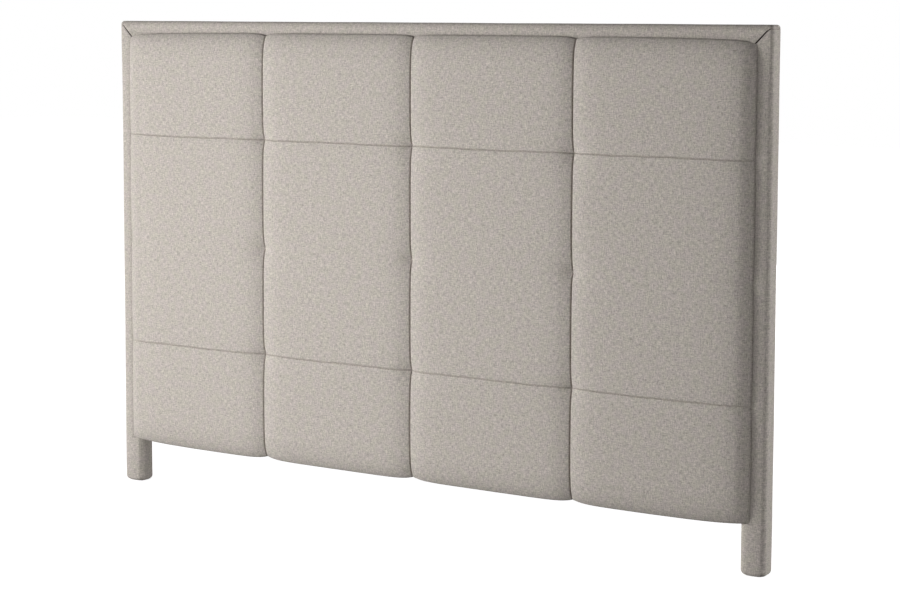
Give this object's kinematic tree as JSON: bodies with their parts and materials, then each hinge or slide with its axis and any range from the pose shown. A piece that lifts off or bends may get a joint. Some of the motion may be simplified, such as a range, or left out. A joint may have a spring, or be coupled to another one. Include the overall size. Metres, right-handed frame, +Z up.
{
  "type": "headboard",
  "caption": "Upholstered headboard for a double bed: a cloth-covered timber frame on two legs that carries a quilted cushion with sewn seams and deep vertical grooves.",
  "frame": {"origin": "on the floor, under the middle of the headboard's bounding box", "axes": "+X across the bed, towards the right seen from the cushion's side; +Y from the cushion towards the wall; +Z up"},
  "size_m": [1.8, 0.0713, 1.2],
  "materials": {
    "softwood": "matte",
    "plywood": "matte",
    "upholstery_cloth": "matte",
    "wadding": "matte",
    "foam": "matte",
    "dust_cloth": "matte",
    "zinc_steel": "satin",
    "black_plastic": "matte"
  },
  "bodies": {
    "root": {"left_stile": "softwood", "right_stile": "softwood", "top_rail": "softwood", "middle_rail": "softwood", "bottom_rail": "softwood", "upright_1": "softwood", "upright_2": "softwood", "upright_3": "softwood", "corner_blocks": "softwood", "bed_fixing_inserts": "zinc_steel", "left_foot_plate": "black_plastic", "right_foot_plate": "black_plastic", "left_wadding": "wadding", "right_wadding": "wadding", "top_wadding": "wadding", "left_cover": "upholstery_cloth", "right_cover": "upholstery_cloth", "top_cover": "upholstery_cloth", "back_panel": "plywood", "dust_cover": "dust_cloth", "cushion_board": "plywood", "foam_slab_1": "foam", "quilted_column_1": "upholstery_cloth", "foam_slab_2": "foam", "quilted_column_2": "upholstery_cloth", "foam_slab_3": "foam", "quilted_column_3": "upholstery_cloth", "foam_slab_4": "foam", "quilted_column_4": "upholstery_cloth", "pull_strip_1": "upholstery_cloth", "pull_strip_2": "upholstery_cloth", "pull_strip_3": "upholstery_cloth"}
  },
  "joints": []
}
